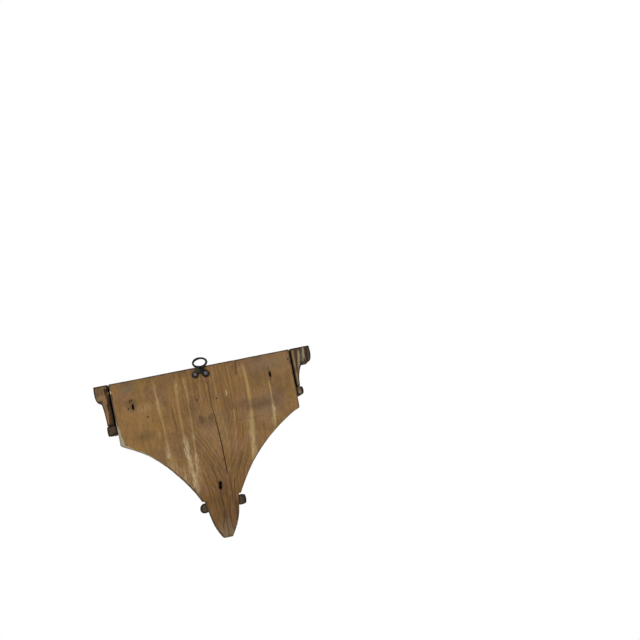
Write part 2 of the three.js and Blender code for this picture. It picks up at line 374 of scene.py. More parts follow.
def make_body():
    """The pine block, with its carved hollows, its worn edges and the marks in its back."""
    shares, quads = body_grid()
    points = body_place(*shares.T)
    quads = facing_out(points, quads)
    x, y, z = points.T
    drop = SHELF - z
    rag = noise(points, 9, 3)
    rubbed = np.interp(drop, RUBBED_DROPS, RUBBED_RADII) * (x > 0) * (y > -30)
    radius = 0.8 + 0.5 * rag + rubbed * (0.75 + 0.25 * rag)
    points, edge = ease_edges(body_place, shares, points, np.clip(radius, 0.3, 9))
    out = normals(points, quads)
    back = (out[:, 1] > 0.7) & (shares[:, 1] > 0.99)

    lift = 0.28 * noise(points, (46, 46, 90), 11) + 0.10 * noise(points, (7, 7, 60), 12)
    carved = smooth(HEAD_DROP - 4, HEAD_DROP + 6, drop) * (shares[:, 1] < 0.98)
    gouges = np.abs(np.sin((drop + 5 * noise(points, (30, 30, 14), 15)) * math.pi / 7.5))
    lift = lift + carved * (0.26 * gouges - 0.16 + 0.18 * noise(points, (9, 9, 9), 13))
    sink, lift, grime_and_shade = back_marks(points, x, drop, back, lift)
    chips = smooth(0.42, 0.8, noise(points, (5, 5, 7), 41)) * smooth(4.5, 0.0, edge)
    sink = np.maximum(sink, BODY_CHIP_DEPTH * chips)
    points = points + out * (lift - sink)[:, None]

    worn = smooth(3.0, 0.2, edge + 1.2 * noise(points, 4, 43))
    band_width = rubbed * 0.85 + 0.3
    worn_band = smooth(band_width, band_width * 0.6, edge + 1.2 * noise(points, 5, 44))
    worn = np.maximum(worn, worn_band * smooth(0.4, 2.0, rubbed))
    marks = {"worn": worn, "grime_and_shade": grime_and_shade, "edge": edge}
    body = mesh_object("aged_body", settle(points), quads.tolist(), marks)
    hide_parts("body")
    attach(body, "root")
    return body


# Mouldings

def crown_profile(ovolo, hollow_top, hollow_foot):
    """(drop, out) from the shelf down: the ovolo, its underside and the cavetto."""
    t = np.linspace(0, 1, 22)
    knots = [(0, ovolo), (OVOLO_HEIGHT * 0.5, ovolo + OVOLO_SWELL), (OVOLO_HEIGHT - 1.6, ovolo + 0.6),
             (OVOLO_HEIGHT, ovolo - OVOLO_UNDERCUT)]
    weights = [(1 - t) ** 3, 3 * t * (1 - t) ** 2, 3 * t * t * (1 - t), t ** 3]
    drop = sum(w * k[0] for w, k in zip(weights, knots))
    out = sum(w * k[1] for w, k in zip(weights, knots))
    under = np.linspace(0, 1, 5)[1:]
    drop = np.concatenate([drop, OVOLO_HEIGHT + UNDERSIDE_FALL * under])
    out = np.concatenate([out, ovolo - OVOLO_UNDERCUT + (hollow_top - ovolo + OVOLO_UNDERCUT) * under])
    s = np.linspace(0, 1, 26)[1:]
    start, bend, foot = OVOLO_HEIGHT + UNDERSIDE_FALL, CROWN_HEIGHT - CAVETTO_BEND, CROWN_HEIGHT
    drop = np.concatenate([drop, (1 - s) ** 2 * start + 2 * s * (1 - s) * bend + s * s * foot])
    out = np.concatenate([out, (1 - s) ** 2 * hollow_top + (1 - (1 - s) ** 2) * hollow_foot])
    return drop, out


def run_along(side, out, along, corners, half, start):
    """Plan place of a strip: `out` from the wood, `along` from the start of the run to its end.

    half is how far the wood reaches to each side and to the front. corners gives how far out the right,
    front and left runs are at this place of their section. start is where side runs begin, from the back.
    """
    if side == "front":
        right_end, left_end = (half + corners[name] - MITRE_TRIM for name in ("right", "left"))
        return right_end * (1 - along) - left_end * along, -(half + out)
    sign = 1 if side == "right" else -1
    share = along if side == "right" else 1 - along
    y = -(start + (half + corners["front"] - MITRE_TRIM - start) * share)
    return sign * (half + out), y


def towards_back(side, along):
    """1 at the back end of a side run, 0 at its mitre, and 0 all along the front run."""
    return {"front": 0 * along, "right": 1 - along, "left": along}[side]


def crown_place(side):
    """The place function of a crown run: u outwards, v along the run, w upwards."""
    profiles = {name: crown_profile(*sizes) for name, sizes in CROWN_RUNS.items()}

    def place(u, v, w):
        drop = (1 - w) * CROWN_HEIGHT
        corners = {}
        for name, (drops, outs) in profiles.items():
            corners[name] = GAP_AT_FRONT + (np.interp(drop, drops, outs) - GAP_AT_FRONT) * u
        reach = np.interp(drop, *profiles[side])
        opening = smooth(0.3, 1, towards_back(side, v))
        gap = GAP_AT_FRONT + (GAP_AT_BACK[side] - GAP_AT_FRONT) * opening
        x, y = run_along(side, gap + (reach - gap) * u, v, corners, HEAD_REACH, 0.0)
        return np.stack([x, y, SHELF - drop], axis=1)

    return place


def bead_place(side, sizes, drop_at, half, start, wood_at):
    """The place function of a bead run: a round section, cut flat where it meets the wood."""
    def place(u, v, w):
        a, b = 2 * u - 1, 2 * w - 1
        radius, centre, square = sizes[side]
        square = sizes["front"][2] + (square - sizes["front"][2]) * towards_back(side, v)
        aside = a * np.sqrt(1 - b * b / 2 * (1 - square))
        up = b * np.sqrt(1 - a * a / 2 * (1 - square))
        up = up - SLANT * (side == "right") * (square > 0.3) * a * (1 - b) / 2
        wood = wood_at(drop_at - radius * up)
        corners = {n: np.maximum(c + r * aside, wood) for n, (r, c, _) in sizes.items()}
        out = np.maximum(centre + radius * aside, wood)
        x, y = run_along(side, out, v, corners, half, start)
        return np.stack([x, y, SHELF - drop_at + radius * up], axis=1)

    return place


def head_face(drop):
    """How far out a bead's flat is from the head's side."""
    return GAP_AT_FRONT + 0.5 + 0 * drop


def neck_face(drop):
    """How far out a bead's flat is from the neck's foot: the neck slopes."""
    slope = NECK_TOP_REACH - NECK_FOOT_REACH
    return 0.3 + np.interp(drop, (SHOULDER_DROP, NECK_FOOT_DROP), (slope, 0))


def make_strip(name, node, place, grid, radius, seed, end_work=None):
    """A length of moulding with eased edges, small dents and, if asked, its sawn back end worked on."""
    shares, quads = box_skin(*grid)
    points = place(*shares.T)
    quads = facing_out(points, quads)
    points, edge = ease_edges(place, shares, points, radius)
    out = normals(points, quads)
    lift = 0.16 * noise(points, (34, 34, 34), seed) + 0.09 * noise(points, (5, 5, 5), seed + 1)
    chips = smooth(0.5, 0.85, noise(points, (6, 6, 5), seed + 2)) * smooth(4.0, 0.0, edge)
    lift = lift - STRIP_CHIP_DEPTH * chips
    # Random grime; a worked end adds painted shade in its recess to the same mark
    grime_and_shade = smooth(0.25, 0.8, noise(points, (18, 18, 12), seed + 3)) * 0.5
    if end_work is not None:
        sink, grime_and_shade = end_work(points, out, grime_and_shade)
        points = points + np.array([0, -1, 0]) * sink[:, None]
    points = points + out * lift[:, None]
    worn = smooth(2.6, 0.1, edge + 1.1 * noise(points, 3.5, seed + 4))
    marks = {"worn": worn, "grime_and_shade": grime_and_shade, "edge": edge}
    strip = mesh_object(name, settle(points), quads.tolist(), marks)
    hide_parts(node)
    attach(strip, "root")
    return strip


def broken_end(points, out, grime_and_shade):
    """The right crown's back end: the inner half is broken back behind a thin sound skin."""
    x, y, z = points.T
    drop = SHELF - z
    inner = HEAD_REACH + np.interp(drop, (0, 9, 21, 34, 50, 61), (9.0, 8.4, 7.6, 7.8, 8.6, 10.2))
    ragged = 1.0 * noise(points, (3, 3, 5), 77)
    hollow = smooth(0.8, -0.8, x + ragged - inner) * (y > -0.8) * (out[:, 1] > 0.5)
    hollow = hollow * smooth(2, 8, drop)
    depth = 3.0 + 2.6 * smooth(-0.5, 0.8, noise(points, (3, 3, 9), 78))
    # The broken hollow is darkened through the grime mark: painted shade in the recess
    return hollow * depth, np.maximum(grime_and_shade, 0.92 * hollow)


def make_mouldings():
    """The crown, the shelf bead and the neck bead, each a right, a front and a left run."""
    strips = []
    drops, _ = crown_profile(*CROWN_RUNS["front"])
    ws = 1 - np.concatenate([[0, 0.5, 1.2], drops[3:]])[::-1] / CROWN_HEIGHT
    ws = np.unique(np.round(np.clip(ws, 0, 1), 6))
    across = dense((0, 0.04, 1), (0.04, 0.94, 20), (0.94, 1, 3))
    section = dense((0, 1, 9))
    short = dense((0, 0.02, 2), (0.02, 0.98, 30), (0.98, 1, 2))
    for side in ("right", "front", "left"):
        steps = 120 if side == "front" else 64
        along = dense((0, 0.008, 3), (0.008, 0.992, steps), (0.992, 1, 3))
        work = broken_end if side == "right" else None
        strips.append(make_strip(f"old_crown_{side}", f"crown_{side}", crown_place(side),
                                 (across, along, ws), 0.7, 100, work))
        bead = bead_place(side, SHELF_BEAD, SHELF_BEAD_DROP, HEAD_REACH, SHELF_BEAD_START, head_face)
        strips.append(make_strip(f"old_bead_{side}", f"bead_{side}", bead,
                                 (section, along, section), 0.4, 140))
        neck = bead_place(side, NECK_BEAD, NECK_BEAD_DROP, NECK_FOOT_REACH, NECK_BEAD_START, neck_face)
        strips.append(make_strip(f"old_neck_bead_{side}", f"neck_bead_{side}", neck,
                                 (section, short, section), 0.5, 180))
    return strips


# Hanger and its nails

def tube_faces(rings, sides):
    """The quads between rings of points, each with that many sides."""
    starts = [(i * sides, j, (j + 1) % sides) for i in range(rings - 1) for j in range(sides)]
    return [(i + a, i + b, i + b + sides, i + a + sides) for i, a, b in starts]


def band(path, widths, thick, sides=14):
    """A closed strap along path: an oval section of that half-width across and half-thickness in Y."""
    path = np.asarray(path, dtype=float)
    along = np.gradient(path, axis=0)
    along /= np.linalg.norm(along, axis=1, keepdims=True)
    across = np.cross(along, [0, 1, 0])
    across /= np.maximum(np.linalg.norm(across, axis=1, keepdims=True), 1e-9)
    up = np.cross(across, along)
    angles = np.arange(sides) * 2 * math.pi / sides
    wide = np.cos(angles)[None, :, None] * np.asarray(widths)[:, None, None]
    high = np.sin(angles)[None, :, None] * np.asarray(thick)[:, None, None]
    rings = path[:, None] + across[:, None] * wide + up[:, None] * high
    faces = tube_faces(len(path), sides)
    last = (len(path) - 1) * sides
    faces.append(tuple(range(sides))[::-1])
    faces.append(tuple(last + j for j in range(sides)))
    return rings.reshape(-1, 3), faces


def curve_through(knots, steps):
    """Points on a smooth curve through the knots."""
    knots = np.asarray(knots, dtype=float)
    padded = np.vstack([2 * knots[0] - knots[1], knots, 2 * knots[-1] - knots[-2]])
    points = []
    for i in range(len(knots) - 1):
        p0, p1, p2, p3 = padded[i:i + 4]
        for t in np.linspace(0, 1, steps, endpoint=False):
            points.append(0.5 * (2 * p1 + (p2 - p0) * t + (2 * p0 - 5 * p1 + 4 * p2 - p3) * t * t
                                 + (3 * p1 - p0 - 3 * p2 + p3) * t ** 3))
    points.append(knots[-1])
    return np.array(points)


def ring_points():
    """The middle of the ring's wire, once round: a circle that leans forward from its foot."""
    turn = np.linspace(0, 2 * math.pi, 97)
    aside = RING_RADIUS * np.sin(turn)
    up = RING_RADIUS * (1 - np.cos(turn))
    y = RING_STANDOFF - up * math.sin(RING_LEAN)
    z = SHELF - RING_FOOT_DROP + up * math.cos(RING_LEAN)
    return np.stack([aside, y, z], axis=1)


def hanger_parts():
    """The ring, the two straps with their eyes, and two bridges between the straps, not yet welded."""
    foot_z = SHELF - RING_FOOT_DROP
    ring = ring_points()
    girth = WIRE_RADIUS * (1 + 0.08 * np.sin(np.linspace(0, 19, len(ring))))
    parts = [band(ring + [RING_SHIFT, 0, 0], girth, girth)]
    for sign, side in ((1, "right"), (-1, "left")):
        eye_x, eye_drop, eye_radius, _ = EYES[side]
        strap = curve_through([
            (sign * 5.8 + RING_SHIFT, RING_STANDOFF - 0.6, foot_z + 1.4),
            (sign * 4.8 + RING_SHIFT * 0.6, RING_STANDOFF, foot_z - 1.3),
            (sign * 4.3, 3.0, foot_z - 4.4),
            (sign * 4.4, 1.9, foot_z - 7.8),
            (eye_x, 1.3, SHELF - eye_drop),
        ], 10)
        share = np.linspace(0, 1, len(strap))
        widths = np.interp(share, (0, 0.3, 0.55, 0.8, 1), STRAP_WIDTHS[side])
        thick = np.interp(share, (0, 0.3, 0.6, 1), (1.5, 1.3, 1.0, 0.85))
        parts.append(band(strap, widths, thick))
        # An eye is a short fat band made along Z and turned to stand along Y
        disc = np.array([(eye_x, SHELF - eye_drop, y) for y in np.linspace(0.42, 2.0, 8)])
        swell = np.sin(np.linspace(0.45, math.pi - 0.45, 8)) ** 0.35 * eye_radius
        turned, sides = band(disc, swell, swell, 28)
        parts.append((turned[:, [0, 2, 1]], [f[::-1] for f in sides]))
    for drop, reach, half_width in ((8.6, 5.0, 2.0), (5.2, 3.6, 2.6)):
        bridge = np.array([(x, 1.7, SHELF - drop - 0.02 * x * x) for x in np.linspace(-reach, reach, 9)])
        parts.append(band(bridge, np.full(9, half_width), np.full(9, 1.0)))
    return parts


def make_hanger():
    """Welds the hanger's parts into one forging, softens it and hammers its skin."""
    points, faces, count = [], [], 0
    for part_points, part_faces in hanger_parts():
        points.append(part_points)
        faces += [tuple(i + count for i in f) for f in part_faces]
        count += len(part_points)
    hanger = mesh_object("old_hanger", np.vstack(points), faces)
    weld = hanger.modifiers.new("forged", "REMESH")
    weld.mode = "VOXEL"
    weld.voxel_size = WELD_GRAIN * MM
    soften = hanger.modifiers.new("softened", "SMOOTH")
    soften.factor = 0.5
    soften.iterations = 6
    apply_modifiers(hanger)
    mesh = hanger.data
    skin, out = np.empty((2, len(mesh.vertices) * 3))
    mesh.vertices.foreach_get("co", skin)
    mesh.vertices.foreach_get("normal", out)
    skin, out = skin.reshape(-1, 3) / MM, out.reshape(-1, 3)
    hammered = 0.10 * noise(skin, 2.4, 61) + 0.05 * noise(skin, 0.9, 62)
    skin = skin + out * hammered[:, None]
    skin[:, 0] += HANGER_SHIFT
    skin[:, 1] = np.maximum(skin[:, 1], np.where(skin[:, 2] < SHELF - 0.6, CLEAR_OF_WOOD, -99))
    mesh.vertices.foreach_set("co", (skin * MM).ravel())
    mesh.polygons.foreach_set("use_smooth", [True] * len(mesh.polygons))
    mesh.update()
    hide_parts("hanger")
    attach(hanger, "root")
    return hanger


def apply_modifiers(obj):
    """Bakes obj's modifiers into its mesh."""
    bpy.context.view_layer.update()
    seen = obj.evaluated_get(bpy.context.evaluated_depsgraph_get())
    mesh = bpy.data.meshes.new_from_object(seen)
    obj.modifiers.clear()
    obj.data = mesh


def make_nail(side, seed):
    """A hand-struck dome head with a short length of its shank behind it."""
    rows, turns = 16, 40
    eye_x, eye_drop, _, dome = EYES[side]
    axis_x, axis_z = eye_x + HANGER_SHIFT, SHELF - eye_drop
    rim = DOME_SEAT + DOME_RIM
    profile = [(SHANK_RADIUS, SHANK_END), (SHANK_RADIUS, DOME_SEAT), (dome - 0.2, DOME_SEAT), (dome, rim)]
    for step in range(1, rows):
        angle = step / rows * math.pi / 2
        profile.append((dome * math.cos(angle) ** 0.9, rim + DOME_HEIGHT * math.sin(angle)))
    angles = np.arange(turns) * 2 * math.pi / turns
    points = [(axis_x + r * math.cos(a), h, axis_z + r * math.sin(a)) for r, h in profile for a in angles]
    faces = [face[::-1] for face in tube_faces(len(profile), turns)]
    points.append((axis_x, SHANK_END, axis_z))
    points.append((axis_x, rim + DOME_HEIGHT, axis_z))
    foot, top = len(points) - 2, len(points) - 1
    last = (len(profile) - 1) * turns
    for j in range(turns):
        faces.append((foot, j, (j + 1) % turns))
        faces.append((top, last + (j + 1) % turns, last + j))
    points = np.array(points)
    away = points - [axis_x, DOME_SEAT, axis_z]
    struck = 0.16 * noise(points, 2.2, seed) + 0.06 * noise(points, 0.9, seed + 1)
    points = points + away / 5 * (struck * (points[:, 1] > DOME_SEAT + 0.1))[:, None]
    nail = mesh_object(f"dome_nail_{side}", points, faces)
    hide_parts(f"nail_{side}")
    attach(nail, "root")
    return nail


# Finishes

def tone(red, green, blue):
    """A colour given as it looks, 0 to 255, as the plain light values that a shader takes."""
    plain = [((c / 255 + 0.055) / 1.055) ** 2.4 if c > 10 else c / 255 / 12.92 for c in (red, green, blue)]
    return (*plain, 1.0)


def feed(tree, socket, value):
    """Sets a socket, or links it where the value comes from another node."""
    if isinstance(value, Amount):
        value = value.socket
    if isinstance(value, bpy.types.NodeSocket):
        tree.links.new(value, socket)
    else:
        socket.default_value = value


def add_node(tree, kind, settings=None, inputs=None):
    """Adds a node: its settings first, then its inputs, by name or number."""
    node = tree.nodes.new(kind)
    for name, value in (settings or {}).items():
        setattr(node, name, value)
    for name, value in (inputs or {}).items():
        feed(tree, node.inputs[name], value)
    return node


def arithmetic(operation, turned=False):
    """A method of Amount that adds a Math node; turned puts the other number first."""
    def method(self, *others):
        values = (*others, self) if turned else (self, *others)
        return self.finish.math(operation, *values)

    return method


class Amount:
    """A number that varies over a surface. Arithmetic on it adds Math nodes."""

    def __init__(self, finish, socket):
        self.finish = finish
        self.socket = socket

    __add__ = arithmetic("ADD")
    __radd__ = arithmetic("ADD", turned=True)
    __sub__ = arithmetic("SUBTRACT")
    __rsub__ = arithmetic("SUBTRACT", turned=True)
    __mul__ = arithmetic("MULTIPLY")
    __rmul__ = arithmetic("MULTIPLY", turned=True)
    __truediv__ = arithmetic("DIVIDE")
    __pow__ = arithmetic("POWER")
    __abs__ = arithmetic("ABSOLUTE")


class Finish:
    """One material. x, y and drop say where a point of the surface is, in millimetres."""

    def __init__(self, name, **constants):
        self.material = bpy.data.materials.new(name)
        self.material.use_nodes = True
        self.tree = self.material.node_tree
        self.tree.nodes.clear()
        constants = {socket.replace("_", " "): value for socket, value in constants.items()}
        self.shader = add_node(self.tree, "ShaderNodeBsdfPrincipled", inputs=constants)
        add_node(self.tree, "ShaderNodeOutputMaterial", inputs={"Surface": self.shader.outputs["BSDF"]})
        where = add_node(self.tree, "ShaderNodeTexCoord").outputs["Object"]
        apart = add_node(self.tree, "ShaderNodeSeparateXYZ", inputs={0: where})
        self.x, self.y, z = (Amount(self, socket) * (1 / MM) for socket in apart.outputs)
        self.drop = SHELF - z

    def amount(self, kind, settings=None, inputs=None, output=0):
        """A new node's output as an Amount."""
        return Amount(self, add_node(self.tree, kind, settings, inputs).outputs[output])

    def math(self, operation, *values):
        return self.amount("ShaderNodeMath", {"operation": operation}, dict(enumerate(values)))

    def least(self, a, b):
        return self.math("MINIMUM", a, b)

    def most(self, a, b):
        return self.math("MAXIMUM", a, b)

    def clip(self, value):
        return self.amount("ShaderNodeMath", {"operation": "ADD", "use_clamp": True}, {0: value, 1: 0.0})

    def smooth(self, low, high, value):
        """0 at low, 1 at high and an even S between them."""
        ends = (0.0, 1.0) if low < high else (1.0, 0.0)
        return self.amount("ShaderNodeMapRange", {"interpolation_type": "SMOOTHSTEP"}, {
            "Value": value, "From Min": min(low, high), "From Max": max(low, high),
            "To Min": ends[0], "To Max": ends[1]})

    def noise(self, lumps, detail=3.0, roughness=0.55, shift=0.0):
        """Noise from 0 to 1 with so many lumps to the millimetre along x, y and the drop."""
        across = self.x * lumps[0]
        if shift:
            across = across + shift
        place = add_node(self.tree, "ShaderNodeCombineXYZ", inputs={
            0: across, 1: self.y * lumps[1], 2: self.drop * lumps[2]})
        return self.amount("ShaderNodeTexNoise", inputs={
            "Vector": place.outputs[0], "Scale": 1.0, "Detail": detail, "Roughness": roughness})

    def mark(self, name):
        """A number kept at the points of the mesh."""
        return self.amount("ShaderNodeAttribute", {"attribute_name": name}, output="Fac")

    def mix(self, share, first, second):
        """From the first colour at 0 to the second at 1."""
        node = add_node(self.tree, "ShaderNodeMix", {"data_type": "RGBA"}, {0: share, 6: first, 7: second})
        return node.outputs[2]

    def layers(self, colour, *coats):
        """Lays coats over a colour in turn, each the share that it covers and its (red, green, blue)."""
        for share, shade in coats:
            colour = self.mix(share, colour, tone(*shade))
        return colour

    def spot(self, x, place, size, softness=0.5):
        """1 inside an oval at place, 0 outside it."""
        aside = (x - place[0]) / size[0]
        down = (self.drop - place[1]) / size[1]
        away = (aside * aside + down * down) ** 0.5
        return self.smooth(1 + softness, 1 - softness, away)

    def streak(self, x, drop, top, foot, bow_out, width):
        """1 along a bowed line from top to foot, each (x, drop), fading at its ends and sides."""
        length = foot[1] - top[1]
        share = (drop - top[1]) / length
        middle = share * (foot[0] - top[0]) + top[0] + share * (1 - share) * 4 * bow_out
        beside = abs(x - middle)
        fade = length * 0.12
        return (self.smooth(width, width * 0.25, beside) * self.smooth(top[1], top[1] + fade, drop)
                * self.smooth(foot[1], foot[1] - fade, drop))

    def streaks(self, colour, x, lines, shade, cover=1.0):
        """Lays a table of streaks over a colour, each (top, foot, bow, half-width, strength)."""
        for top, foot, bow_out, width, strength in lines:
            line = self.streak(x, self.drop, top, foot, bow_out, width)
            colour = self.mix(line * (strength * cover), colour, tone(*shade))
        return colour

    def spots(self, colour, x, ovals, softness, shade, cover=1.0):
        """Lays a table of spots over a colour, each (place, size, strength)."""
        for place, size, strength in ovals:
            oval = self.spot(x, place, size, softness)
            colour = self.mix(oval * (strength * cover), colour, tone(*shade))
        return colour

    def surface(self, colour, roughness, height, strength, depth):
        """Wires the shader: colour, roughness and a bump of that height."""
        bump = add_node(self.tree, "ShaderNodeBump", inputs={
            "Strength": strength, "Distance": depth, "Height": height})
        feed(self.tree, self.shader.inputs["Base Color"], colour)
        feed(self.tree, self.shader.inputs["Roughness"], roughness)
        feed(self.tree, self.shader.inputs["Normal"], bump.outputs[0])
        return self.material


# Pale streaks in the back: top and foot as (x, drop), sideways bow, half-width and strength
PALE_STREAKS = (
    ((75, 4), (70.3, 146), -1.9, 2.3, 0.70),
    ((39.5, 5), (36, 192), 5.0, 3.4, 0.62),
    ((27.0, 10), (33, 163), -2.6, 2.0, 0.60),
    ((-67.2, 1), (-54, 162), -6.4, 3.4, 0.95),
    ((-102.6, 38), (-99.3, 114), -1.0, 1.8, 0.95),
    ((-16, 30), (-24, 120), 0.0, 1.2, 0.30),
    ((-38.6, 84), (-30, 160), -1.5, 1.5, 0.40),
    ((-24, 96), (-19, 150), -1.0, 1.3, 0.35),
)

# Broad greyed bands beside them
GREY_BANDS = (
    ((-65, 80), (-55, 166), -3.0, 6.0, 0.60),
    ((40, 100), (34, 196), 3.0, 6.0, 0.40),
    ((72, 96), (66, 152), -1.0, 5.0, 0.30),
    ((-101, 66), (-98, 118), -1.0, 3.6, 0.40),
)

# Dark late-wood lines that stand out: top and foot, bow, half-width and strength
DARK_LINES = (
    ((33, 92), (-4, 182), -7.0, 1.0, 0.50), ((42, 92), (5, 168), -7.0, 0.9, 0.40),
    ((24, 96), (-8, 176), -5.0, 0.9, 0.50), ((15, 98), (-10, 168), -3.0, 0.8, 0.40),
    ((-50, 92), (-22, 186), -6.0, 0.9, 0.45), ((-42, 74), (-20, 178), -7.0, 0.8, 0.35),
    ((-31, 60), (-17, 172), -5.0, 0.8, 0.40), ((-58, 104), (-27, 190), -5.0, 0.8, 0.35),
    ((11, 146), (5, 222), -3.0, 1.2, 0.75), ((4, 204), (11, 254), -3.5, 1.3, 0.80),
    ((-14, 166), (-12, 214), -1.5, 1.1, 0.75), ((-12, 200), (-4, 258), 3.0, 1.3, 0.80),
    ((-22, 176), (-15, 244), 1.5, 1.2, 0.75), ((19, 172), (15, 246), -2.0, 1.0, 0.60),
    ((0, 222), (2, 262), 2.0, 1.1, 0.70), ((53, 52), (50.6, 95), 0.6, 2.0, 0.45),
    ((-19, 212), (-11, 256), -1.0, 2.2, 0.50), ((-7, 180), (1, 232), -2.5, 1.0, 0.60),
    ((25, 160), (20, 214), -2.0, 1.0, 0.55), ((-57.5, 1), (-55.0, 25), 0.0, 2.0, 0.62),
    ((-106.3, 18), (-106.3, 44), 0.0, 0.8, 0.70),
)

# Where the streaks turn chalky, and small pale scuffs: place as (x, drop), size and strength
CHALK = (
    ((42.5, 124), (4.4, 20), 0.85), ((40.0, 172), (5.0, 26), 0.75), ((31, 148), (3.4, 20), 0.60),
    ((-102.2, 82), (1.7, 17), 0.95), ((71.5, 126), (3.4, 16), 0.60), ((-60, 128), (4.0, 30), 0.40),
    ((39.5, 24), (1.9, 9), 0.70), ((27, 22), (1.6, 8), 0.45), ((73.8, 46), (1.5, 14), 0.90),
    ((-34.4, 48), (1.2, 4), 0.80), ((-40.1, 81), (1.1, 7), 0.80), ((96, 47), (11, 7), 0.28),
    ((29, 104), (4, 5), 0.30), ((82, 92), (10, 4), 0.22), ((-98, 104), (4, 5), 0.50),
    ((52, 168), (4, 18), 0.50), ((64, 150), (6, 9), 0.35),
)

# Dark and brown stains, and a painted shadow band: place, size and strength
STAINS = (
    ((11.7, 81), (5.0, 7.0), 0.55), ((-4.2, 80.5), (4.0, 6), 0.42), ((4, 88), (14, 9), 0.28),
    # The ovals at (-74, 71) and (-84, 77) are a painted horizontal shadow band
    ((70, 66), (52, 60), 0.07), ((-74, 71), (38, 7.5), 0.30), ((-84, 77), (22, 6), 0.30),
    ((-112, 70), (10, 16), 0.24), ((100, 89), (14, 9), 0.36), ((60, 100), (20, 10), 0.16),
    ((-30, 148), (9, 22), 0.16), ((108, 40), (8, 10), 0.18), ((3, 240), (12, 14), 0.20),
    ((114, 38), (9, 10), 0.34), ((25, 62), (8, 12), 0.18), ((-86, 28), (16, 20), 0.18),
    ((-123, 50), (14, 14), 0.26), ((-2, 196), (5, 12), 0.30), ((110, 5), (30, 4), 0.22),
    ((-80, 5), (40, 5), 0.20), ((20, 6), (24, 5), 0.24), ((62, 58), (4, 22), 0.20),
)

# Streaks in the left crown moulding's sawn end: top and foot, half-width, strength and colour
END_STREAKS = (
    ((-157.5, 2), (-146.5, 64), 2.6, 0.75, (150, 138, 112)),
    ((-164.2, -4), (-163.0, 19), 1.7, 0.80, (158, 146, 122)),
    ((-161.5, 8), (-160.5, 27), 2.6, 0.55, (124, 114, 84)),
    ((-168.2, -2), (-167.4, 25), 2.8, 0.85, (40, 29, 20)),
    ((-160.0, -6), (-158.6, 12), 1.4, 0.80, (44, 32, 24)),
)

# Rust on the right crown moulding's end: place and size
RUST = (
    ((149.2, 14.5), (3.0, 5.0)), ((150.4, 43), (1.5, 4)), ((150.6, 53), (2.0, 5)), ((147.5, 4), (1.2, 3)),
    ((152.6, 19), (1.4, 5)),
)


def growth_rings(f):
    """Dark late-wood lines, and the distance from the heart that they run round.

    The lines are upright at the sides, and steep nested points along the middle.
    """
    wander = f.noise((0.022, 0.022, 0.009))
    ripple = f.noise((0.10, 0.10, 0.022), 2.0)
    aside = f.x + 10 + (wander - 0.5) * 26 + f.least(f.drop, 200) * 0.022
    from_heart = (aside * aside + f.y * f.y * 0.6 + 16) ** 0.5
    points = f.smooth(56, 190, f.drop) * 44
    far = 1 + (from_heart * 0.02) ** 2
    turns = (from_heart + points / far) / 5.6 + ripple * 0.7 + (wander - 0.5) * 3
    broad = turns - f.math("FLOOR", turns)
    fine = turns * 2.2 - f.math("FLOOR", turns * 2.2)
    late = f.smooth(0.35, 0.88, broad) * f.smooth(1.0, 0.90, broad)
    late = late * 0.65 + f.smooth(0.25, 0.85, fine) * f.smooth(1.0, 0.88, fine) * 0.5
    return late, from_heart


class PineGrain:
    """What varies through the pine block and is used by more than one of its layers."""

    def __init__(self, f):
        self.rings, from_heart = growth_rings(f)
        self.near_heart = f.smooth(80, 12, from_heart)
        self.fibre = f.noise((1.3, 1.3, 0.035), 5.0, 0.62)
        self.hair = f.noise((4.2, 4.2, 0.09), 3.0, 0.6)
        self.cloud = f.noise((0.026, 0.026, 0.021), 4.0, 0.62)
        self.blotch = f.noise((0.09, 0.09, 0.065), 4.0, 0.62)
        self.rosy = f.noise((0.045, 0.045, 0.035), 4.0, 0.62, 40)
        self.olive = f.noise((0.055, 0.055, 0.04), 4.0, 0.62, -70)
        self.speck = f.noise((0.6, 0.6, 0.45), 2.0, 0.5)
        self.uneven = self.blotch - 0.5


